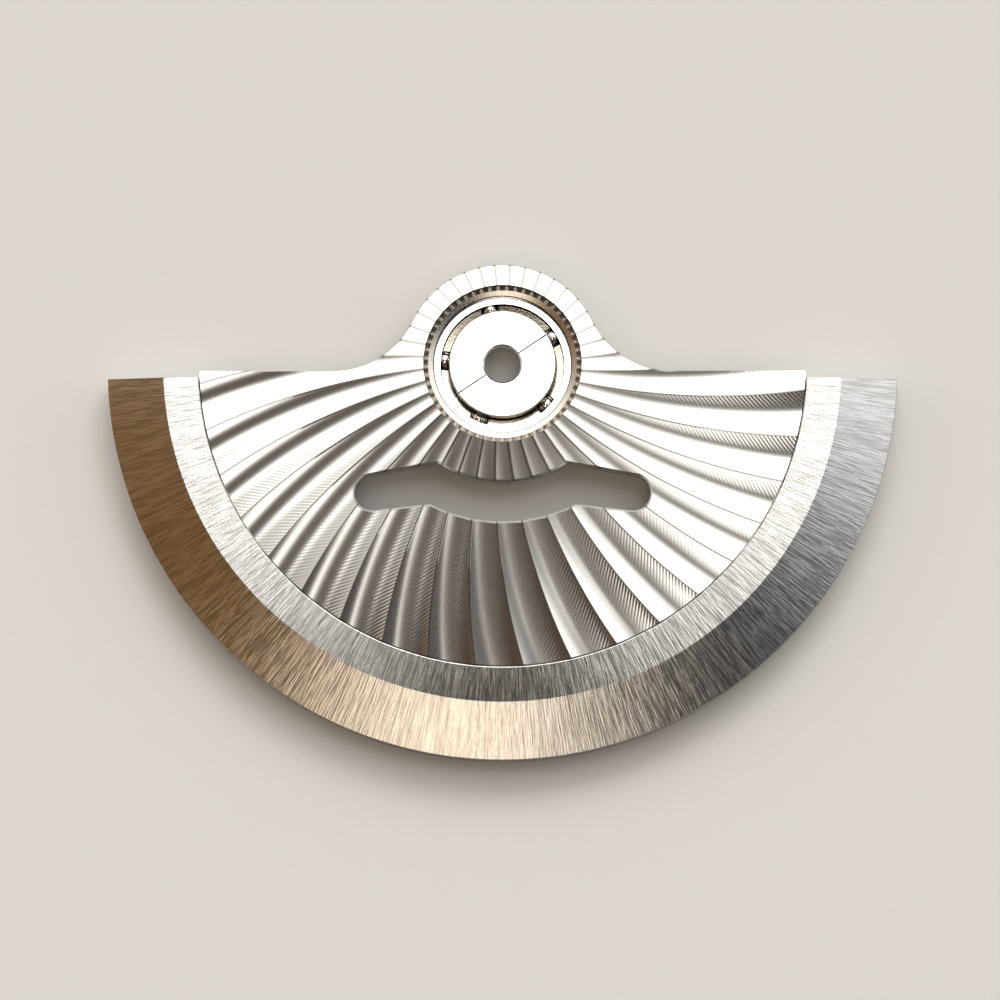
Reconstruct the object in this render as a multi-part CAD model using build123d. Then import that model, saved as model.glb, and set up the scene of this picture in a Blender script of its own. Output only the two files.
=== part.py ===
from build123d import *
import os
from math import cos, pi, radians, sin, sqrt, tan

# Automatic watch rotor, in millimetres.
# The spin axis is Z, with the decorated face up. The heavy rim lies towards -Y and its two ends towards -X and +X.
# Z = 0 is the seat face under the hub core, where the rotor stands on a movement.

# Balls and raceways
ball_radius = 0.30
ball_count = 5
ball_phase_deg = 30.3  # direction of the first ball
pitch_radius = 1.91  # circle through the ball centres
race_play = 0.015  # running clearance of a ball in its raceway
race_relief = 0.02  # flat bottom of a raceway behind the ball
race_gap_half = 0.14  # half the open gap between the inner and the outer ring

# Ball cage
cage_play = 0.03  # running clearance from either ring
pocket_play = 0.02  # running clearance round a ball
cage_floor = 0.07  # cage wall under a pocket
prong_rise = 0.10  # how far the cage reaches above the ball centres

# Hub core and race cone, fixed to the movement
core_bore_radius = 0.60
core_wall = 0.35
foot_radius = 1.30
foot_height = 0.12

# Split cap, the upper half of the inner ring
cap_rise = 0.35  # cap top above the outer ring's top
cap_floor = 0.20  # cap wall over the core's spigot
cap_bore_relief = 0.015  # cap bore beyond the core bore
cap_split_gap = 0.04
cap_split_deg = 33.9
cap_chamfer = 0.04
cap_nick = 0.09  # relief nick at each end of the split

# Bearing outer ring
ring_lift = 0.08  # moving parts above the seat face
ring_cover = 0.04  # ring top above the ball tops
lip_width = 0.20  # the polished top face
race_wall = 0.215  # wall behind the raceway
collar_rise = 0.15  # plate seat above the ball centres
collar_thickness = 0.24
collar_land = 0.35  # collar beyond the plate's bore

# Lock ring, serrated, pressed between the neck and the plate
lock_width = 0.35
lock_drop = 0.12  # outer edge below the plate's top
serration_count = 56
serration_depth = 0.05  # swing of the ridges about the bevel, at the outside
serration_lip = 0.04  # the cutter's top above the ring

# Drive gear
gear_module = 0.10
gear_wall = 0.425  # metal between the bore and the tooth roots
addendum_share = 1.0
dedendum_share = 1.25
gear_tip_share = 0.20  # tooth land at the tip, as a share of the tooth pitch
gear_root_share = 0.34  # gap at the root, as a share of the tooth pitch

# Overall size, and the heavy rim's share of it
weight_radius = 13.0
rim_width = 3.02
seam_gap = 0.03  # between the rim and the plate

# Rotor plate
plate_thickness = 0.58
hub_thickness = 0.68
hub_wall = 0.685  # metal round the bearing bore
boss_step = 0.14  # boss edge inside the hub's outline
edge_offset = 0.25  # straight edges below the centre line
shoulder_radius = 2.95  # hollow curve from the hub to a straight edge
edge_chamfer = 0.05
seat_gap = 0.005  # radial gap of a pressed seat

# Cut-out in the plate
slot_inner_radius = 3.93
slot_outer_radius = 5.23
slot_inner_half_deg = 32.7
slot_outer_half_deg = 27.0
slot_end_radius = 0.59
slot_end_x = 4.26
slot_end_y = -4.28
slot_chamfer = 0.12

# Flutes
flute_count = 40
flute_edge_deg = 13.0  # slope of a flute's wall where it meets its ridge
flute_phase_deg = 183.9  # one ridge, at the rim
flute_swirl_deg = 8.9  # how far a ridge lags behind from the rim to the hub
swirl_bow_share = 0.12  # bow of the ridge line
flute_land = 0.025  # ridge left between two flutes
flute_flare_deg = 4.0  # the cutter opens this much further above the plate
flute_sections = 4  # along its length
flute_chords = 4  # flat strips across it

# Heavy rim
land_width = 1.16  # flat inner land
bevel_drop = 0.42  # fall of the outer bevel
rim_hang = 0.35  # rim bottom below the seat face
rim_end_step = 0.23  # rim ends below the plate's straight edges
ledge_width = 0.88
ledge_thickness = 0.55
skirt_width = 0.35  # slope from the ledge to the rim's bottom
rim_chamfer = 0.03

# Pins through the ledge
pin_count = 5
pin_step_deg = 35.0
pin_radius = 0.25
pin_sides = 12
pin_depth = 0.30  # reach into the plate

overrun = 1.0  # cutters pass this far beyond what they cut


# Places worked out from the sizes above
groove_radius = ball_radius + race_play
groove_depth = groove_radius + race_relief
pocket_radius = ball_radius + pocket_play
ball_z = ring_lift + cage_floor + pocket_radius
inner_lip_radius = pitch_radius - race_gap_half
outer_lip_radius = pitch_radius + race_gap_half
neck_radius = outer_lip_radius + lip_width
ring_top_z = ball_z + ball_radius + ring_cover
seat_z = ball_z + collar_rise
collar_z = seat_z - collar_thickness
lock_radius = neck_radius + lock_width
collar_radius = lock_radius + collar_land
gear_seat_radius = pitch_radius + groove_depth + race_wall
spigot_radius = core_bore_radius + core_wall
cap_top_z = ring_top_z + cap_rise
spigot_top_z = cap_top_z - cap_floor
plate_bore_radius = lock_radius + seat_gap
hub_radius = plate_bore_radius + hub_wall
plate_top_z = seat_z + hub_thickness
plate_under_z = plate_top_z - plate_thickness
rim_radius = weight_radius - rim_width
plate_radius = rim_radius - seam_gap
ledge_radius = rim_radius - ledge_width
ledge_under_z = plate_under_z - ledge_thickness
pin_circle_radius = (ledge_radius + rim_radius) / 2


def turned(points):
    """A solid turned about Z from (radius, height) points."""
    return revolve(Plane.XZ * make_face(Polyline(*points, close=True)), Axis.Z)


def ring(inner, outer, low, high):
    """A plain ring between two radii and two heights."""
    return turned([(inner, low), (outer, low), (outer, high), (inner, high)])


def raceway():
    """The room of the balls: two V grooves at 45 degrees, with flat bottoms, turned about Z."""
    tip = groove_radius * sqrt(2)
    flat = tip - groove_depth
    return Pos(0, 0, ball_z) * turned([
        (pitch_radius, -tip),
        (pitch_radius + groove_depth, -flat),
        (pitch_radius + groove_depth, flat),
        (pitch_radius, tip),
        (pitch_radius - groove_depth, flat),
        (pitch_radius - groove_depth, -flat),
    ])


def ball(index):
    angle = radians(ball_phase_deg + 360 * index / ball_count)
    return Pos(pitch_radius * cos(angle), pitch_radius * sin(angle), ball_z) * Sphere(ball_radius)


def ball_cage():
    inner = inner_lip_radius + cage_play
    outer = outer_lip_radius - cage_play
    cage = ring(inner, outer, ring_lift, ball_z + prong_rise)
    pocket_height = pocket_radius + prong_rise + overrun
    pocket = Pos(pitch_radius, 0, ball_z - pocket_radius + pocket_height / 2) * Box(
        4 * race_gap_half, 2 * pocket_radius, pocket_height
    )
    for index in range(ball_count):
        cage -= Rot(0, 0, ball_phase_deg + 360 * index / ball_count) * pocket
    return cage


def hub_core():
    tube = ring(core_bore_radius, spigot_radius, 0, spigot_top_z)
    return tube + ring(core_bore_radius, foot_radius, 0, foot_height)


def race_cone():
    return ring(spigot_radius + seat_gap, inner_lip_radius, foot_height, ball_z) - raceway()


def split_cap():
    """The two halves of the cap, behind and in front of the split."""
    bore = core_bore_radius + cap_bore_relief
    socket = spigot_radius + seat_gap
    roof = spigot_top_z + seat_gap
    cap = turned([
        (socket, ball_z),
        (inner_lip_radius, ball_z),
        (inner_lip_radius, cap_top_z - cap_chamfer),
        (inner_lip_radius - cap_chamfer, cap_top_z),
        (bore + cap_chamfer, cap_top_z),
        (bore, cap_top_z - cap_chamfer),
        (bore, roof),
        (socket, roof),
    ])
    cap -= raceway()
    reach = inner_lip_radius + overrun
    turn = Rot(0, 0, cap_split_deg)
    nick = Pos(inner_lip_radius, 0, cap_top_z) * Rot(0, 0, 45) * Box(cap_nick, cap_nick, cap_floor)
    cap -= turn * nick
    cap -= turn * Rot(0, 0, 180) * nick
    half = Pos(0, (cap_split_gap + reach) / 2, 0) * Box(2 * reach, reach, 2 * (cap_top_z + overrun))
    return cap & (turn * half), cap & (turn * Rot(0, 0, 180) * half)


def bearing_outer_ring():
    blank = turned([
        (outer_lip_radius, ring_lift),
        (gear_seat_radius, ring_lift),
        (gear_seat_radius, collar_z),
        (collar_radius, collar_z),
        (collar_radius, seat_z),
        (neck_radius, seat_z),
        (neck_radius, ring_top_z),
        (outer_lip_radius, ring_top_z),
    ])
    return blank - raceway()


def star(inner, outer, height):
    """A closed outline that swings between two radii, once for each serration."""
    points = []
    for step in range(2 * serration_count):
        radius = outer if step % 2 else inner
        angle = pi * step / serration_count
        points.append((radius * cos(angle), radius * sin(angle), height))
    return make_face(Polyline(*points, close=True))


def lock_ring():
    """A ring whose top falls towards the bearing in ridges and notches that spread outwards."""
    inner = neck_radius + seat_gap
    crest_z = plate_top_z - lock_drop
    inside, outside = star(inner, inner, seat_z), star(lock_radius, lock_radius, seat_z)
    blank = extrude(outside - inside, crest_z - seat_z)
    low = star(inner, inner, ring_top_z)
    high = star(lock_radius - serration_depth, lock_radius + serration_depth, crest_z + serration_lip)
    return blank - loft([low, high], ruled=True)


def drive_gear():
    root_radius = gear_seat_radius + gear_wall
    tooth_count = round(2 * (root_radius / gear_module + dedendum_share))
    pitch_deg = 360 / tooth_count
    tip_radius = (tooth_count / 2 + addendum_share) * gear_module
    gear_root_radius = (tooth_count / 2 - dedendum_share) * gear_module
    corners = [
        (gear_root_radius, gear_root_share / 2),
        (tip_radius, (1 - gear_tip_share) / 2),
        (tip_radius, (1 + gear_tip_share) / 2),
        (gear_root_radius, 1 - gear_root_share / 2),
    ]
    points = []
    for tooth in range(tooth_count):
        for radius, share in corners:
            angle = radians((tooth + share) * pitch_deg)
            points.append((radius * cos(angle), radius * sin(angle)))
    outline = make_face(Polyline(*points, close=True)) - Circle(gear_seat_radius + seat_gap)
    return Pos(0, 0, ring_lift) * extrude(outline, collar_z - ring_lift)


def half_plane(top_y):
    """Everything in front of a straight edge, as a face."""
    reach = weight_radius + overrun
    return Pos(0, top_y - reach / 2) * Rectangle(2 * reach, reach)


def plate_outline():
    """Half disc and round hub, joined by hollow shoulders."""
    blank = (Circle(plate_radius) & half_plane(-edge_offset)) + Circle(hub_radius)
    near_x = hub_radius + hub_wall
    corners = blank.vertices().filter_by(lambda v: abs(v.Y + edge_offset) < hub_wall and abs(v.X) < near_x)
    return fillet(corners, shoulder_radius)


def slot_outline():
    """The cut-out: two rounded wings, drawn tight round their end circles, and a curved middle."""
    inner = radians(slot_inner_half_deg)
    outer = radians(slot_outer_half_deg)
    top_x, top_y = slot_inner_radius * sin(inner), -slot_inner_radius * cos(inner)
    low_x, low_y = slot_outer_radius * sin(outer), -slot_outer_radius * cos(outer)
    middle = make_face([
        ThreePointArc((-top_x, top_y), (0, -slot_inner_radius), (top_x, top_y)),
        Line((top_x, top_y), (low_x, low_y)),
        ThreePointArc((low_x, low_y), (0, -slot_outer_radius), (-low_x, low_y)),
        Line((-low_x, low_y), (-top_x, top_y)),
    ])
    end = Pos(slot_end_x, slot_end_y) * Circle(slot_end_radius)
    wing = make_hull(Line((top_x, top_y), (low_x, low_y)).edges() + end.edges())
    return middle + wing + mirror(wing, Plane.YZ)


def flute_section(radius):
    """The hollow section of a flute at a radius, drawn with chords about Y, with a lid above the plate."""
    half = radius * tan(pi / flute_count) - flute_land / 2
    slope = radians(flute_edge_deg)
    curve = half / sin(slope)
    points = []
    for step in range(flute_chords + 1):
        turn = radians(flute_edge_deg + flute_flare_deg) * (2 * step / flute_chords - 1)
        points.append((curve * sin(turn), curve * (cos(slope) - cos(turn))))
    last_x = points[-1][0]
    return make_face(Polyline(*points, (last_x, overrun), (-last_x, overrun), close=True))


def flute():
    """One concave cutter that runs from the bore to the rim and lags behind towards the bore."""
    start = plate_bore_radius - hub_wall
    end = rim_radius + ledge_width
    sections = []
    for index in range(flute_sections):
        radius = start + (end - start) * index / (flute_sections - 1)
        inward = (plate_radius - radius) / (plate_radius - plate_bore_radius)
        lag = flute_swirl_deg * (inward + swirl_bow_share * inward * (1 - inward))
        angle = flute_phase_deg + 180 / flute_count - lag
        place = Rot(0, 0, angle) * Pos(radius, 0, plate_top_z)
        sections.append(place * (Plane.YZ * flute_section(radius)))
    return loft(sections, ruled=True)


def pin_places():
    """Directions of the pins, spread evenly about -Y."""
    return [270 + (index - (pin_count - 1) / 2) * pin_step_deg for index in range(pin_count)]


def pin(grow=0):
    """A plain pin with flat sides, flush with the ledge's underside."""
    section = Pos(pin_circle_radius, 0, ledge_under_z) * RegularPolygon(pin_radius + grow, pin_sides)
    return extrude(section, ledge_thickness + pin_depth + grow)


def rotor_plate():
    blank = extrude(plate_outline() - slot_outline(), plate_thickness)
    top = blank.faces().sort_by(Axis.Z)[-1]
    blank = chamfer(top.inner_wires()[0].edges(), slot_chamfer)
    edges = blank.faces().sort_by(Axis.Z)[-1].outer_wire().edges()
    free_edges = edges.filter_by(lambda edge: (edge @ 0.5).Y > -edge_offset - shoulder_radius)
    blank = chamfer(free_edges, edge_chamfer)
    plate = Pos(0, 0, plate_under_z) * blank
    plate += ring(0, hub_radius - boss_step, seat_z, plate_under_z)
    plate -= ring(0, plate_bore_radius, seat_z - overrun, plate_top_z + overrun)
    for angle in pin_places():
        plate -= Rot(0, 0, angle) * pin(seat_gap)
    cutter = flute()
    for index in range(flute_count):
        plate -= Rot(0, 0, 360 * index / flute_count) * cutter
    return plate


def rim_weight():
    bottom_z = -rim_hang
    bevel_radius = rim_radius + land_width
    edge_z = plate_top_z - bevel_drop
    blank = turned([
        (ledge_radius, ledge_under_z),
        (ledge_radius + skirt_width, bottom_z),
        (weight_radius, bottom_z),
        (weight_radius, edge_z),
        (bevel_radius, plate_top_z),
        (rim_radius + rim_chamfer, plate_top_z),
        (rim_radius, plate_top_z - rim_chamfer),
        (rim_radius, plate_under_z),
        (ledge_radius, plate_under_z),
    ])
    front = extrude(half_plane(-edge_offset - rim_end_step), weight_radius, both=True)
    rim = blank & front
    for angle in pin_places():
        rim -= Rot(0, 0, angle) * pin(seat_gap)
    return rim


def write(name, shape):
    export_step(shape, "parts/" + name + ".step")


os.makedirs("parts", exist_ok=True)
write("rotor_plate", rotor_plate())
write("rim_weight", rim_weight())
for number, angle in enumerate(pin_places(), 1):
    write("rim_pin_" + str(number), Rot(0, 0, angle) * pin())
write("lock_ring", lock_ring())
write("bearing_outer_ring", bearing_outer_ring())
write("drive_gear", drive_gear())
write("ball_cage", ball_cage())
for number in range(ball_count):
    write("ball_" + str(number + 1), ball(number))
write("hub_core", hub_core())
write("race_cone", race_cone())
cap_back, cap_front = split_cap()
write("race_cap_back", cap_back)
write("race_cap_front", cap_front)
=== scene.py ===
import bmesh
import bpy
import math
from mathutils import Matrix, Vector
from mathutils.geometry import tessellate_polygon


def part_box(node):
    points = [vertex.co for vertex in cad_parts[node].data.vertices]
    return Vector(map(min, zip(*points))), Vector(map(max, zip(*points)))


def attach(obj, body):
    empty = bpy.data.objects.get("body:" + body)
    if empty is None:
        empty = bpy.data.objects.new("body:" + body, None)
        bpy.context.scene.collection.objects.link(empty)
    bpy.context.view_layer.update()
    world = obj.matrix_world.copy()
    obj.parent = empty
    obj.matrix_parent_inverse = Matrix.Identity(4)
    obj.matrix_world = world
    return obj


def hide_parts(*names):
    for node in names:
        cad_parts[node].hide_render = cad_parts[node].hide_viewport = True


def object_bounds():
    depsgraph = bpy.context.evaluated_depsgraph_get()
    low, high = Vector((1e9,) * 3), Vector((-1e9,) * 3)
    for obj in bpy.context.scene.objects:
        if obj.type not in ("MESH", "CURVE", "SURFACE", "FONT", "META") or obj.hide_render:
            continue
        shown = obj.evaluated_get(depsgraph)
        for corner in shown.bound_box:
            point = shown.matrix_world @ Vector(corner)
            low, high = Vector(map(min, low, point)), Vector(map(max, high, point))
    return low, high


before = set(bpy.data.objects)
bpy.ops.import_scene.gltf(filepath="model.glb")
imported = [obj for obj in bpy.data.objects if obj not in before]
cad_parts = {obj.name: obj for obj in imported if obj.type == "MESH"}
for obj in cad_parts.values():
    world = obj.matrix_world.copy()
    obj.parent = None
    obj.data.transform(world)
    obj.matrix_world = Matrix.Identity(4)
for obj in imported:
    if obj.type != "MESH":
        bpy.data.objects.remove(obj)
cad_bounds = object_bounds()

# Automatic watch rotor in bright and brushed metal on a pale floor.
# The scene is in metres: camera lengths are written as millimetres times mm, and piece() scales the shapes.
mm = 0.001

# Camera, at the photograph's angle
image_px = 1000
px_per_m = 30.58 / mm  # at the plate's top
axis_px = (502.5, 362.5)  # where the spin axis meets the plate's top
camera_elevation = math.radians(83.0)
camera_distance = 140 * mm
sensor_width = 36 * mm

plate_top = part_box("rotor_plate")[1].z
aim_right = (image_px / 2 - axis_px[0]) / px_per_m
aim_down = (image_px / 2 - axis_px[1]) / px_per_m
target = Vector((aim_right, -aim_down / math.sin(camera_elevation), plate_top))
back = Vector((0, -math.cos(camera_elevation), math.sin(camera_elevation)))
camera_data = bpy.data.cameras.new("camera")
camera_data.sensor_width = sensor_width / mm
camera_data.lens = sensor_width / mm * camera_distance / (image_px / px_per_m)
camera_data.clip_start = 1 * mm
camera = bpy.data.objects.new("camera", camera_data)
camera.location = target + camera_distance * back
camera.rotation_euler = (math.pi / 2 - camera_elevation, 0, 0)
bpy.context.scene.collection.objects.link(camera)
bpy.context.scene.camera = camera
bpy.context.scene.view_settings.view_transform = "Standard"

# Colours of the studio that the metal reflects. Values above 1 are its lit cards and window panes.
ceiling_dark = (0.062, 0.043, 0.030)
ceiling_grey = (0.06, 0.06, 0.063)
wood_front = (0.21, 0.11, 0.042)
wood_back = (0.32, 0.19, 0.095)
side_card = (1.15, 1.15, 1.17)
white_card = (1.60, 1.56, 1.48)
cream_card = (2.0, 1.68, 1.32)
near_card = (1.8, 1.77, 1.71)
front_dark = (0.06, 0.05, 0.045)
pane_left = (0.60, 0.575, 0.535)
pane_right = (1.7, 1.68, 1.63)
pane_strip = (2.9, 2.86, 2.78)
upper_left = (0.80, 0.77, 0.72)
upper_right = (5.0, 4.92, 4.76)
wall_front = (0.10, 0.09, 0.08)
wall_back = (1.25, 1.23, 1.20)
wall_low = (0.50, 0.49, 0.47)
wall_foot = (0.85, 0.84, 0.82)
fan_foot_y = 0.07  # the window opens out like a fan from this point of the ceiling, at x 0

floor_color = (0.83, 0.82, 0.80)
floor_roughness = 0.8
floor_side = 1.2

# Colours, depths and slopes of the metals, depths in millimetres
streak_dark = (0.50, 0.485, 0.465)
streak_light = (0.78, 0.765, 0.74)
brushing_depth = 0.0055
brushing_lean = 0.010  # the slope by which the brushed top leans away from the axis
nickel = (0.84, 0.82, 0.79)
# painted shade: the darker nickel drawn as a line along each flute's ridge
nickel_ridge_painted_shade = (0.30, 0.28, 0.26)
polish = (0.86, 0.85, 0.83)
# painted shade on the upright faces of polished steel and along the caps' split
polish_upright_painted_shade = (0.22, 0.20, 0.18)
polish_depth = 0.001
grain_size = 14.0  # noise cells to the millimetre
grain_depth = 0.002
cage_color = (0.60, 0.54, 0.44)
cage_lean = -0.06


class Nodes:
    """A short way to write a shader: each call adds a node and returns its output socket."""

    def __init__(self, tree):
        self.tree = tree

    def add(self, kind, out=0, settings=None, **inputs):
        node = self.tree.nodes.new("ShaderNode" + kind)
        for name, value in (settings or {}).items():
            setattr(node, name, value)
        for name, value in inputs.items():
            key = int(name[1:]) if name[1:].isdigit() else name.replace("_", " ")
            if isinstance(value, bpy.types.NodeSocket):
                self.tree.links.new(value, node.inputs[key])
            else:
                node.inputs[key].default_value = value
        return node.outputs[out]

    def math(self, operation, a, b=0.0, c=0.0):
        return self.add("Math", settings={"operation": operation}, i0=a, i1=b, i2=c)

    def plus(self, a, b):
        return self.math("ADD", a, b)

    def minus(self, a, b):
        return self.math("SUBTRACT", a, b)

    def times(self, *factors):
        result = factors[0]
        for factor in factors[1:]:
            result = self.math("MULTIPLY", result, factor)
        return result

    def ramp(self, value, low, high, to_low=0.0, to_high=1.0):
        """value taken smoothly from low..high to to_low..to_high."""
        return self.add("MapRange", settings={"interpolation_type": "SMOOTHSTEP"},
                        Value=value, From_Min=low, From_Max=high, To_Min=to_low, To_Max=to_high)

    def band(self, value, low, full_low, full_high, high):
        """1 where value lies from full_low to full_high, smoothly down to 0 at low and high."""
        return self.times(self.ramp(value, low, full_low), self.ramp(value, high, full_high))

    def mix(self, factor, a, b):
        """From colour a to colour b; a colour is an output socket, or three plain numbers."""
        a, b = ((*color, 1) if isinstance(color, tuple) else color for color in (a, b))
        return self.add("Mix", out=2, settings={"data_type": "RGBA"}, i0=factor, i6=a, i7=b)

    def vector(self, operation, a, b=(0, 0, 0)):
        return self.add("VectorMath", settings={"operation": operation}, i0=a, i1=b)

    def scaled(self, vector, factor):
        node = self.tree.nodes.new("ShaderNodeVectorMath")
        node.operation = "SCALE"
        self.tree.links.new(vector, node.inputs[0])
        node.inputs["Scale"].default_value = factor
        return node.outputs[0]

    def split(self, vector):
        node = self.tree.nodes.new("ShaderNodeSeparateXYZ")
        self.tree.links.new(vector, node.inputs[0])
        return node.outputs

    def join(self, x, y, z):
        return self.add("CombineXYZ", i0=x, i1=y, i2=z)

    def noise(self, vector, scale, detail=3.0, roughness=0.6):
        return self.add("TexNoise", Vector=vector, Scale=scale, Detail=detail, Roughness=roughness)

    def bump(self, height, distance, strength=1.0, normal=None):
        more = {"Normal": normal} if normal else {}
        return self.add("Bump", Strength=strength, Distance=distance, Height=height, **more)


def ceiling(n, x, y, reach):
    """A dark ceiling: brown wood to the left, grey to the right, and a light card far to the right."""
    wood = n.mix(n.ramp(y, -0.08, 0.15), wood_front, wood_back)
    brown = n.times(n.ramp(x, -0.10, -0.25), n.ramp(reach, 0.28, 0.40))
    color = n.mix(brown, ceiling_dark, wood)
    color = n.mix(n.ramp(x, 0.08, 0.32), color, ceiling_grey)
    slant = n.plus(x, n.times(y, 0.6))
    side = n.times(n.ramp(slant, 0.36, 0.53), n.ramp(x, 0.70, 0.60))
    return n.mix(side, color, side_card)


def cards_in_front(n, x, y, color):
    """A white card with a slanted back edge, a cream card further forward, then the dark in front of both."""
    slant = n.minus(y, n.times(x, 0.6))
    white = n.times(n.band(x, -0.12, -0.08, 0.09, 0.115), n.ramp(slant, -0.02, -0.06))
    color = n.mix(white, color, white_card)
    aside = n.math("ABSOLUTE", n.plus(x, 0.07))
    cream = n.times(n.ramp(aside, 0.19, 0.09), n.ramp(y, -0.22, -0.29))
    color = n.mix(cream, color, cream_card)
    return n.mix(n.ramp(y, -0.46, -0.58), color, front_dark)


def window_behind(n, x, y, turn, color):
    """A lower pane like a fan, a bright strip, a near card on each side, and an upper pane by the wall."""
    across = n.math("ABSOLUTE", x)
    pane = n.mix(n.ramp(turn, 156, 130), pane_left, pane_right)
    lower = n.times(n.band(turn, 5, 18, 169, 178), n.ramp(across, 0.52, 0.42), n.ramp(y, 0.095, 0.115))
    color = n.mix(lower, color, pane)
    strip = n.times(n.ramp(across, 0.18, 0.13), n.band(y, 0.102, 0.118, 0.25, 0.33))
    color = n.mix(strip, color, pane_strip)
    left = n.times(n.band(x, -0.18, -0.14, -0.12, -0.08), n.ramp(y, 0.065, 0.09))
    slant = n.minus(y, n.times(x, 0.9))
    right = n.times(n.band(x, 0.085, 0.105, 0.14, 0.18), n.ramp(slant, -0.045, -0.025))
    near = n.times(n.plus(left, right), n.ramp(y, 0.14, 0.11))
    color = n.mix(near, color, near_card)
    upper = n.mix(n.ramp(x, -0.40, 0.0), upper_left, upper_right)
    return n.mix(n.ramp(y, 0.56, 0.64), color, upper)


def walls(n, y, z, color):
    """Walls all round, pale behind and dark in front; except straight in front, their low part is grey."""
    high = n.mix(n.ramp(y, -0.5, 0.4), wall_front, wall_back)
    low = n.mix(n.ramp(z, 0.25, 0.0), wall_low, wall_foot)
    lowered = n.times(n.ramp(z, 0.42, 0.25), n.ramp(y, -0.92, -0.75))
    return n.mix(n.ramp(z, 0.60, 0.42), color, n.mix(lowered, high, low))


def world_light():
    """The studio as reflected by the metal. x, y and z are the parts of a direction, +Z straight up."""
    world = bpy.data.worlds.new("studio")
    world.use_nodes = True
    bpy.context.scene.world = world
    tree = world.node_tree
    tree.nodes.clear()
    n = Nodes(tree)
    x, y, z = n.split(n.add("TexCoord"))
    away = n.minus(y, fan_foot_y)
    reach = n.math("SQRT", n.plus(n.times(x, x), n.times(away, away)))
    turn = n.times(n.math("ARCTAN2", away, x), 180 / math.pi)
    color = ceiling(n, x, y, reach)
    color = cards_in_front(n, x, y, color)
    color = window_behind(n, x, y, turn, color)
    color = walls(n, y, z, color)
    out = tree.nodes.new("ShaderNodeOutputWorld")
    tree.links.new(n.add("Background", Color=color, Strength=1.0), out.inputs[0])


def floor():
    """A pale floor at the level of the lowest solid."""
    low = cad_bounds[0][2]
    half = floor_side / 2
    corners = [(-half, -half, low), (half, -half, low), (half, half, low), (-half, half, low)]
    mesh = bpy.data.meshes.new("floor")
    mesh.from_pydata(corners, [], [(0, 1, 2, 3)])
    obj = bpy.data.objects.new("floor", mesh)
    bpy.context.scene.collection.objects.link(obj)
    material = bpy.data.materials.new("pale_floor")
    material.use_nodes = True
    shader = material.node_tree.nodes["Principled BSDF"]
    shader.inputs["Base Color"].default_value = (*floor_color, 1)
    shader.inputs["Roughness"].default_value = floor_roughness
    mesh.materials.append(material)


def metal(name, color, roughness, anisotropy=0.0):
    """A metal and its node helper: the shader is the tree's Principled BSDF."""
    material = bpy.data.materials.new(name)
    material.use_nodes = True
    shader = material.node_tree.nodes["Principled BSDF"]
    shader.inputs["Base Color"].default_value = (*color, 1)
    shader.inputs["Metallic"].default_value = 1.0
    shader.inputs["Roughness"].default_value = roughness
    shader.inputs["Anisotropic"].default_value = anisotropy
    return material, Nodes(material.node_tree), shader


def plug(material, shader, name, socket):
    material.node_tree.links.new(socket, shader.inputs[name])


def around_axis(n):
    """The direction round the spin axis at each point: highlights of radial brushing stretch along it."""
    return n.vector("NORMALIZE", n.vector("CROSS_PRODUCT", (0, 0, 1), n.add("NewGeometry")))


def leaned_out(n, slope):
    """The surface's direction, leaned away from the spin axis by a slope."""
    x, y, z = n.split(n.add("NewGeometry"))
    outwards = n.vector("MULTIPLY", n.vector("NORMALIZE", n.join(x, y, 0.0)), n.join(slope, slope, 0.0))
    return n.vector("NORMALIZE", n.vector("ADD", n.add("NewGeometry", out=1), outwards))


def object_mm(n):
    """A point of the piece, in millimetres."""
    return n.scaled(n.add("TexCoord", out=3), 1 / mm)


def length(n, vector):
    return n.add("VectorMath", out=1, settings={"operation": "LENGTH"}, i0=vector)


def radial_brushing(n, fine=240.0, coarse=70.0):
    """Fine and coarse noise that runs in straight lines away from the axis."""
    x, y, z = n.split(object_mm(n))
    flat = n.join(x, y, 0.0)
    radius = length(n, flat)
    ux, uy, uz = n.split(n.vector("NORMALIZE", flat))
    lines = []
    for scale, stretch in ((fine, 1.3), (coarse, 0.6)):
        spot = n.join(n.times(ux, scale), n.times(uy, scale), n.times(radius, stretch))
        lines.append(n.noise(spot, 1.0, 2.0))
    return lines


def brushed_metal():
    """The rim's top, brushed radially in lighter and darker streaks."""
    material, n, shader = metal("radially_brushed", (0.66, 0.645, 0.62), 0.14, 0.9)
    fine, coarse = radial_brushing(n)
    relief = n.plus(fine, n.times(coarse, 0.8))
    plug(material, shader, "Normal", n.bump(relief, brushing_depth * mm, normal=leaned_out(n, brushing_lean)))
    plug(material, shader, "Tangent", around_axis(n))
    plug(material, shader, "Roughness", n.ramp(fine, 0.35, 0.65, 0.12, 0.17))
    streak = n.ramp(n.plus(fine, n.times(coarse, 0.6)), 0.62, 0.98)
    plug(material, shader, "Base Color", n.mix(streak, streak_dark, streak_light))
    return material


def share_of_flute(n, x, y, radius):
    """How far a point lies from one ridge to the next, from 0 to 1. The ridges run as in ridge_angle()."""
    inward = n.math("DIVIDE", n.minus(plate_radius, radius), plate_radius - plate_bore_radius)
    bow = n.times(inward, n.minus(1.0, inward), swirl_bow)
    lag = n.times(n.plus(inward, bow), flute_swirl)
    turn = n.minus(n.plus(n.math("ARCTAN2", y, x), lag), flute_phase - 4 * math.pi)
    return n.math("FRACT", n.math("DIVIDE", turn, flute_pitch))


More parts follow.
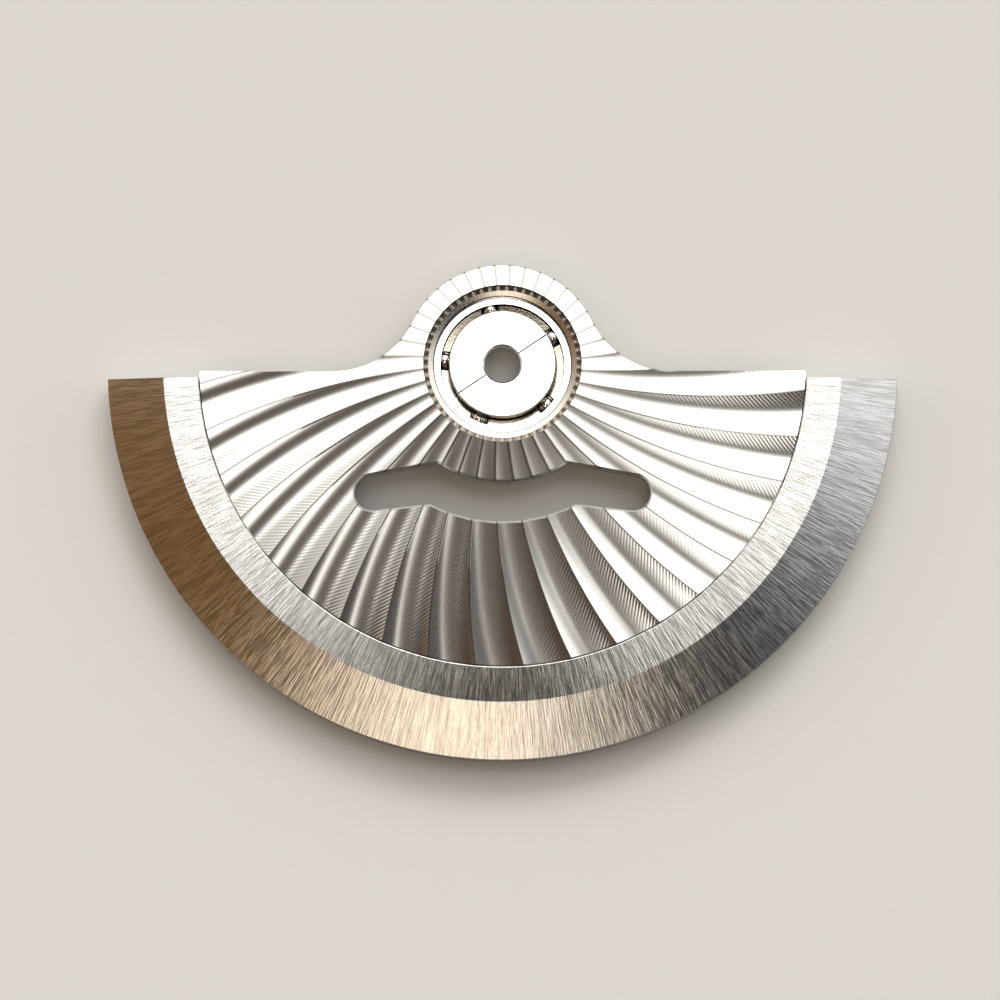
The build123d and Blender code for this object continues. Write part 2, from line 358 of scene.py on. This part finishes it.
def fluted_metal():
    """Bright nickel with the cutter's marks on one side of each flute and a dark line of painted shade at
    each ridge.
    """
    material, n, shader = metal("fluted_nickel", nickel, 0.12)
    x, y, z = n.split(object_mm(n))
    radius = length(n, n.join(x, y, 0.0))
    share = share_of_flute(n, x, y, radius)
    width = n.times(share, radius, flute_pitch)
    phase = n.plus(n.times(radius, math.sin(hatch_turn)), n.times(width, math.cos(hatch_turn)))
    wave = n.math("SINE", n.times(phase, 2 * math.pi / hatch_pitch))
    marked = n.times(n.ramp(share, 0.40, 0.95), n.ramp(radius, 4.0, 9.0, 0.1, 1.0))
    lean = leaned_out(n, n.ramp(radius, 3.0, 9.0, 0.052, 0.025))
    plug(material, shader, "Normal", n.bump(n.times(wave, marked), hatch_depth * mm, normal=lean))
    nearer = n.minus(0.5, n.math("ABSOLUTE", n.minus(share, 0.5)))
    to_ridge = n.times(nearer, radius, flute_pitch)
    # Painted shade: the colour darkens to a dark line along each ridge.
    clear = n.ramp(to_ridge, 0.010, n.ramp(radius, 3.0, 6.0, 0.065, 0.035))
    plug(material, shader, "Base Color", n.mix(clear, nickel_ridge_painted_shade, nickel))
    return material


def polished_metal(name="polished_steel", split=None):
    """Polished steel with painted shade: its upright faces are painted darker, and so is a hairline at the
    angle of a split.
    """
    material, n, shader = metal(name, polish, 0.07)
    x, y, z = n.split(n.add("NewGeometry", out=1))
    # Painted shade: upright faces and a hairline along the split get a darker colour.
    level = n.ramp(n.math("ABSOLUTE", z), 0.30, 0.55)
    if split is not None:
        x, y, z = n.split(object_mm(n))
        aside = n.minus(n.times(x, math.sin(split)), n.times(y, math.cos(split)))
        level = n.times(level, n.ramp(n.math("ABSOLUTE", aside), 0.022, 0.040))
    plug(material, shader, "Base Color", n.mix(level, polish_upright_painted_shade, polish))
    cloud = n.noise(object_mm(n), 0.9, 3.0)
    plug(material, shader, "Roughness", n.ramp(cloud, 0.3, 0.7, 0.05, 0.11))
    plug(material, shader, "Normal", n.bump(cloud, polish_depth * mm))
    return material


def plain_metal(name, color, roughness):
    """Turned or cut metal with a fine grain."""
    material, n, shader = metal(name, color, roughness)
    grain = n.noise(object_mm(n), grain_size, 4.0)
    plug(material, shader, "Roughness", n.ramp(grain, 0.3, 0.7, roughness * 0.8, roughness * 1.25))
    plug(material, shader, "Normal", n.bump(grain, grain_depth * mm))
    return material


def cage_metal():
    """Satin brass whose top leans a little towards the axis."""
    material, n, shader = metal("cage_brass", cage_color, 0.12)
    grain = n.noise(object_mm(n), grain_size, 4.0)
    plug(material, shader, "Roughness", n.ramp(grain, 0.3, 0.7, 0.09, 0.15))
    plug(material, shader, "Normal", n.bump(grain, grain_depth * mm, normal=leaned_out(n, cage_lean)))
    return material


def paint(node, material):
    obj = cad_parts[node]
    obj.data.materials.clear()
    obj.data.materials.append(material)


def two_finishes(obj, top, cut, upward=0.5):
    """One material for the faces that look up and another, darker one for all the rest: partly a rougher cut
    finish, partly painted shade on walls and undersides.
    """
    obj.data.materials.clear()
    obj.data.materials.append(top)
    obj.data.materials.append(cut)
    for face in obj.data.polygons:
        if face.normal.z < upward:
            face.material_index = 1


# The rotor's sizes in millimetres. The slot's chamfer, flute_edge, rim_rounding and the cutter's marks
# are the scene's own, and the others are the solids'.
weight_radius = 13.0
rim_radius = 9.98
ledge_radius = 9.10
bevel_radius = 11.14
plate_radius = 9.95
plate_bore_radius = 2.605
plate_thickness = 0.58
bevel_drop = 0.42
rim_foot_slope = 0.35
rim_rounding = 0.012
hub_radius = 3.29
boss_radius = 3.15
edge_y = -0.25
rim_end_y = -0.48
shoulder_radius = 2.95
edge_chamfer = 0.05
seam_chamfer = 0.03
slot_inner_radius = 3.93
slot_outer_radius = 5.23
slot_inner_half = math.radians(32.7)
slot_outer_half = math.radians(27.0)
slot_end = Vector((4.26, -4.28))
slot_end_radius = 0.59
slot_chamfer = 0.08
slot_chamfer_drop = 0.065
cap_split = math.radians(33.9)
flute_count = 40
flute_pitch = 2 * math.pi / flute_count
flute_edge = math.radians(9.5)  # how steep a flute is beside its ridge, at the rim
flute_phase = math.radians(183.9)
flute_swirl = math.radians(8.9)
swirl_bow = 0.12
flute_land = 0.025
hatch_turn = math.radians(40)  # the cutter's marks lie this far from a flute's length
hatch_pitch = 0.10
hatch_depth = 0.0004
fine_step = math.radians(0.5)


def heights(node):
    """The lowest and highest level of a solid, in millimetres."""
    low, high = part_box(node)
    return low.z / mm, high.z / mm


seat_z, plate_top_z = heights("rotor_plate")
ledge_z = heights("rim_pin_1")[0]
rim_bottom_z = heights("rim_weight")[0]
plate_under_z = plate_top_z - plate_thickness
bevel_edge_z = plate_top_z - bevel_drop


def piece(name, vertices, faces, body, *nodes, slot=None, sharp_deg=None):
    """A mesh written in millimetres. With a body, it rides on it and stands for that body's nodes."""
    mesh = bpy.data.meshes.new(name)
    mesh.from_pydata([(x * mm, y * mm, z * mm) for x, y, z in vertices], [], faces)
    clean(mesh)
    obj = bpy.data.objects.new(name, mesh)
    bpy.context.scene.collection.objects.link(obj)
    if sharp_deg:
        mesh.shade_smooth()
        mesh.set_sharp_from_angle(angle=math.radians(sharp_deg))
    if body:
        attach(obj, body)
        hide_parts(*nodes)
    return obj


def clean(mesh):
    """Merges double points and turns all faces outwards."""
    work = bmesh.new()
    work.from_mesh(mesh)
    bmesh.ops.remove_doubles(work, verts=work.verts, dist=0.0005 * mm)
    bmesh.ops.recalc_face_normals(work, faces=work.faces)
    work.to_mesh(mesh)
    work.free()


def polar(radius, angle):
    return radius * math.cos(angle), radius * math.sin(angle)


def arc(center, radius, start, end, step=math.radians(2.0)):
    """Points along an arc, both ends included."""
    count = max(2, math.ceil(abs(end - start) / step))
    return [
        (center[0] + radius * math.cos(start + (end - start) * k / count),
         center[1] + radius * math.sin(start + (end - start) * k / count))
        for k in range(count + 1)
    ]


def plate_outline():
    """The half disc, its hollow shoulders and the hub, anticlockwise, and the chamfer at each point."""
    side = math.asin(-edge_y / plate_radius)
    center_y = edge_y + shoulder_radius
    center_x = math.sqrt((hub_radius + shoulder_radius) ** 2 - center_y ** 2)
    turn = math.atan2(center_y, center_x)
    disc = arc((0, 0), plate_radius, math.pi + side, 2 * math.pi - side, fine_step)
    shoulder = arc((center_x, center_y), shoulder_radius, 1.5 * math.pi, math.pi + turn)
    hub = arc((0, 0), hub_radius, turn, math.pi - turn)[1:-1]
    other = [(-x, y) for x, y in reversed(shoulder)]
    points = disc + shoulder + hub + other
    chamfers = [0] * len(disc) + [edge_chamfer] * (len(points) - len(disc))
    return points, chamfers


def tangent_angle(point, center, radius, sign):
    """The direction from a circle's centre to where a line from the point touches it."""
    away = Vector(point) - center
    return math.atan2(away.y, away.x) + sign * math.acos(radius / away.length)


def slot_outline():
    """The cut-out: a curved middle and two wings with round ends, anticlockwise."""
    low = 1.5 * math.pi
    top = polar(slot_inner_radius, low + slot_inner_half)
    bottom = polar(slot_outer_radius, low + slot_outer_half)
    first = tangent_angle(bottom, slot_end, slot_end_radius, 1)
    last = tangent_angle(top, slot_end, slot_end_radius, -1) + 2 * math.pi
    while last < first:
        last += 2 * math.pi
    while last - first > 2 * math.pi:
        last -= 2 * math.pi
    wing = [bottom] + spread(bottom, arc(slot_end, slot_end_radius, first, last), top) + [top]
    other = [(-x, y) for x, y in reversed(wing)]
    outer = arc((0, 0), slot_outer_radius, low - slot_outer_half, low + slot_outer_half, fine_step)
    inner = arc((0, 0), slot_inner_radius, low + slot_inner_half, low - slot_inner_half, fine_step)
    return outer[1:-1] + wing + inner[1:-1] + other


def spread(start, points, end, gap=0.05):
    """Adds evenly spaced points from start to the first point and from the last point to end."""
    def run(a, b):
        count = max(1, round((Vector(b) - Vector(a)).length / gap))
        return [tuple(Vector(a).lerp(Vector(b), k / count)) for k in range(1, count)]
    return run(start, points[0]) + points + run(points[-1], end)


def grown(points, distance):
    """The outline moved outwards by a distance. Points that would cross at an inner corner meet there."""
    sharpest = 0.3  # the least cosine that counts at a corner
    nearest = 0.98  # the least share of the distance that a good point keeps
    count = len(points)
    moved, good = [], []
    flat = [Vector(p) for p in points]
    for k, point in enumerate(flat):
        before = (point - flat[k - 1]).normalized()
        after = (flat[(k + 1) % count] - point).normalized()
        normal = Vector((before.y + after.y, -before.x - after.x))
        normal.normalize()
        reach = distance / max(sharpest, normal.dot(Vector((after.y, -after.x))))
        moved.append(point + normal * reach)
    for spot in moved:
        near = min(segment_distance(spot, flat[k - 1], flat[k]) for k in range(count))
        good.append(near > distance * nearest)
    for k in range(count):
        if not good[k]:
            a = next(j for j in range(1, count) if good[k - j])
            b = next(j for j in range(1, count) if good[(k + j) % count])
            moved[k] = (moved[k - a] + moved[(k + b) % count]) / 2
    return [tuple(p) for p in moved]


def segment_distance(spot, a, b):
    along = b - a
    share = max(0.0, min(1.0, (spot - a).dot(along) / max(along.length_squared, 1e-12)))
    return (a + along * share - spot).length


def inset(points, amounts):
    """The outer outline moved inwards by an amount of its own at each point."""
    count = len(points)
    result = []
    for k, amount in enumerate(amounts):
        before = (Vector(points[k]) - Vector(points[k - 1])).normalized()
        after = (Vector(points[(k + 1) % count]) - Vector(points[k])).normalized()
        normal = (before + after).normalized()
        result.append((points[k][0] - normal.y * amount, points[k][1] + normal.x * amount))
    return result


class Shell:
    """Collects closed loops of points and the faces between them."""

    def __init__(self):
        self.vertices, self.faces = [], []

    def loop(self, points, z):
        first = len(self.vertices)
        self.vertices += [(x, y, z) for x, y in points]
        return list(range(first, first + len(points)))

    def wall(self, a, b):
        count = len(a)
        self.faces += [(a[k - 1], a[k], b[k], b[k - 1]) for k in range(count)]

    def cap(self, *loops):
        order = [index for one in loops for index in one]
        rings = [[Vector(self.vertices[index]) for index in one] for one in loops]
        self.faces += [tuple(order[k] for k in triangle) for triangle in tessellate_polygon(rings)]


def plate_blank():
    """The plate with its chamfers, cut-out, bore and boss, but no flutes."""
    shell = Shell()
    outline, chamfers = plate_outline()
    slot = slot_outline()
    bore = arc((0, 0), plate_bore_radius, 0, 2 * math.pi)[:-1]
    boss = arc((0, 0), boss_radius, 0, 2 * math.pi)[:-1]
    top = shell.loop(inset(outline, chamfers), plate_top_z)
    edge = shell.loop(outline, plate_top_z - edge_chamfer)
    low = shell.loop(outline, plate_under_z)
    slot_top = shell.loop(grown(slot, slot_chamfer), plate_top_z)
    slot_edge = shell.loop(slot, plate_top_z - slot_chamfer_drop)
    slot_low = shell.loop(slot, plate_under_z)
    bore_top = shell.loop(bore, plate_top_z)
    bore_low = shell.loop(bore, seat_z)
    boss_top = shell.loop(boss, plate_under_z)
    boss_low = shell.loop(boss, seat_z)
    for a, b in ((top, edge), (edge, low), (slot_top, slot_edge), (slot_edge, slot_low),
                 (bore_top, bore_low), (boss_top, boss_low), (boss_low, bore_low)):
        shell.wall(a, b)
    shell.cap(top, slot_top, bore_top)
    shell.cap(low, slot_low, boss_top)
    return piece("plate_blank", shell.vertices, shell.faces, None)


def ridge_angle(radius, flute):
    """Direction of a ridge at a radius: it lags behind towards the hub."""
    inward = (plate_radius - radius) / (plate_radius - plate_bore_radius)
    lag = flute_swirl * (inward + swirl_bow * inward * (1 - inward))
    return flute_phase + 2 * math.pi * flute / flute_count - lag


def flute_field(across=20, along=36):
    """A closed body whose top is all flutes. What it shares with the plate's blank is the fluted plate."""
    start, end, bottom = 2.35, 10.3, -3.0
    hair = 0.0005  # the ridges stay this far below the blank's top
    cutter_radius = plate_radius * math.tan(math.pi / flute_count) / math.sin(flute_edge)
    rows = []
    vertices, faces = [], []
    for row in range(along + 1):
        radius = start + (end - start) * row / along
        half = radius * math.tan(math.pi / flute_count) - flute_land / 2
        edge = math.asin(half / cutter_radius)
        land = flute_land / 2 / radius
        first = len(vertices)
        for flute in range(flute_count):
            ridge = ridge_angle(radius, flute)
            width = flute_pitch - 2 * land
            for step in range(across + 1):
                turn = edge * (2 * step / across - 1)
                share = (math.sin(turn) / math.sin(edge) + 1) / 2
                depth = cutter_radius * (math.cos(turn) - math.cos(edge))
                vertices.append((*polar(radius, ridge + land + width * share), plate_top_z - hair - depth))
        rows.append(list(range(first, len(vertices))))
    for radius in (start, end):
        row = rows[0] if radius == start else rows[-1]
        first = len(vertices)
        vertices += [(vertices[k][0], vertices[k][1], bottom) for k in row]
        rows.append(list(range(first, len(vertices))))
    inner, outer = rows.pop(-2), rows.pop(-1)
    rings = [inner] + rows + [outer]
    for a, b in zip(rings, rings[1:] + rings[:1]):
        faces += [(a[k - 1], a[k], b[k], b[k - 1]) for k in range(len(a))]
    return piece("flute_field", vertices, faces, None)


def fluted_plate(sharp_deg=6):
    """The plate's blank cut to the flutes, with an edge where faces meet at more than sharp_deg."""
    blank, field = plate_blank(), flute_field()
    both = blank.modifiers.new("flutes", "BOOLEAN")
    both.operation = "INTERSECT"
    both.solver = "EXACT"
    both.object = field
    bpy.context.view_layer.update()
    shaped = bpy.data.meshes.new_from_object(blank.evaluated_get(bpy.context.evaluated_depsgraph_get()))
    for tool in (blank, field):
        old = tool.data
        bpy.data.objects.remove(tool)
        bpy.data.meshes.remove(old)
    shaped.name = "fluted_plate"
    shaped.shade_smooth()
    shaped.set_sharp_from_angle(angle=math.radians(sharp_deg))
    obj = bpy.data.objects.new("fluted_plate", shaped)
    bpy.context.scene.collection.objects.link(obj)
    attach(obj, "rotor")
    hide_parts("rotor_plate")
    return obj


def rounded(profile, radius, steps=3):
    """A closed (radius, height) profile with its corners rounded."""
    result = []
    count = len(profile)
    for k in range(count):
        here = Vector(profile[k])
        one = Vector(profile[k - 1]) - here
        two = Vector(profile[(k + 1) % count]) - here
        reach = min(radius, one.length / 3, two.length / 3)
        start, end = here + one.normalized() * reach, here + two.normalized() * reach
        for step in range(steps + 1):
            t = step / steps
            result.append(tuple(start.lerp(here, t).lerp(here.lerp(end, t), t)))
    return result


def heavy_rim(steps=540):
    """The half ring: a profile swept round the axis, closed at its two straight ends."""
    profile = rounded([
        (ledge_radius, ledge_z),
        (ledge_radius + rim_foot_slope, rim_bottom_z),
        (weight_radius, rim_bottom_z),
        (weight_radius, bevel_edge_z),
        (bevel_radius, plate_top_z),
        (rim_radius + seam_chamfer, plate_top_z),
        (rim_radius, plate_top_z - seam_chamfer),
        (rim_radius, plate_under_z),
        (ledge_radius, plate_under_z),
    ], rim_rounding)
    vertices, faces, columns = [], [], []
    for radius, height in profile:
        side = math.asin(-rim_end_y / radius)
        first = len(vertices)
        for k in range(steps + 1):
            angle = math.pi + side + (math.pi - 2 * side) * k / steps
            vertices.append((*polar(radius, angle), height))
        columns.append(list(range(first, len(vertices))))
    for a, b in zip(columns, columns[1:] + columns[:1]):
        faces += [(a[k], a[k + 1], b[k + 1], b[k]) for k in range(steps)]
    faces.append(tuple(column[0] for column in columns))
    faces.append(tuple(column[-1] for column in columns))
    return piece("heavy_rim", vertices, faces, "rotor", "rim_weight", slot="rim_heavy_metal", sharp_deg=2)


def serrated_ring():
    """The ring round the bearing: a light sloping band inside, and a serrated edge outside."""
    low, high = heights("lock_ring")
    inside, outside = 2.255, 2.60
    teeth, parts, steepness = 56, 8, 1.6
    # Radius, then the level at a tooth's crest and in the notch beside it
    profile = [
        (inside, low, low),
        (inside, high - 0.16, high - 0.16),
        (inside + 0.03, high - 0.12, high - 0.12),
        (inside + 0.19, high - 0.08, high - 0.08),
        (outside - 0.02, high, high - 0.14),
        (outside, high - 0.02, high - 0.16),
        (outside, low, low),
    ]
    shell = Shell()
    loops = []
    for radius, crest, notch in profile:
        first = len(shell.vertices)
        for step in range(teeth * parts):
            share = abs(2 * (step % parts) / parts - 1)
            level = notch + (crest - notch) * max(0.0, 1 - steepness * share)
            shell.vertices.append((*polar(radius, 2 * math.pi * step / (teeth * parts)), level))
        loops.append(list(range(first, len(shell.vertices))))
    for a, b in zip(loops, loops[1:] + loops[:1]):
        shell.wall(a, b)
    return piece("serrated_ring", shell.vertices, shell.faces, "rotor", "lock_ring", slot="ring_steel",
                 sharp_deg=25)


world_light()
floor()
# Partly real, partly painted shade: these darker cut finishes go on the walls and undersides of the plate and
# rim.
cut_and_shaded_nickel = plain_metal("cut_and_shaded_nickel", (0.40, 0.36, 0.31), 0.35)
cut_and_shaded_heavy = plain_metal("cut_and_shaded_heavy_metal", (0.36, 0.34, 0.31), 0.35)
steel = plain_metal("turned_steel", (0.62, 0.60, 0.57), 0.30)
ring_steel = plain_metal("serrated_steel", (0.72, 0.67, 0.60), 0.22)
gear_steel = plain_metal("cut_steel", (0.60, 0.59, 0.57), 0.28)
polished = polished_metal()
cap = polished_metal("polished_caps", cap_split)
two_finishes(fluted_plate(), fluted_metal(), cut_and_shaded_nickel)
two_finishes(heavy_rim(), brushed_metal(), cut_and_shaded_heavy)
serrated_ring().data.materials.append(ring_steel)

# All other pieces are the solids' own meshes, in steel unless they are listed
finishes = {
    "lock_ring": ring_steel,
    "bearing_outer_ring": polished,
    "drive_gear": gear_steel,
    "ball_cage": cage_metal(),
    "race_cone": polished,
    "race_cap_back": cap,
    "race_cap_front": cap,
    **{f"ball_{number}": polished for number in range(1, 6)},
}
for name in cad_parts:
    paint(name, finishes.get(name, steel))
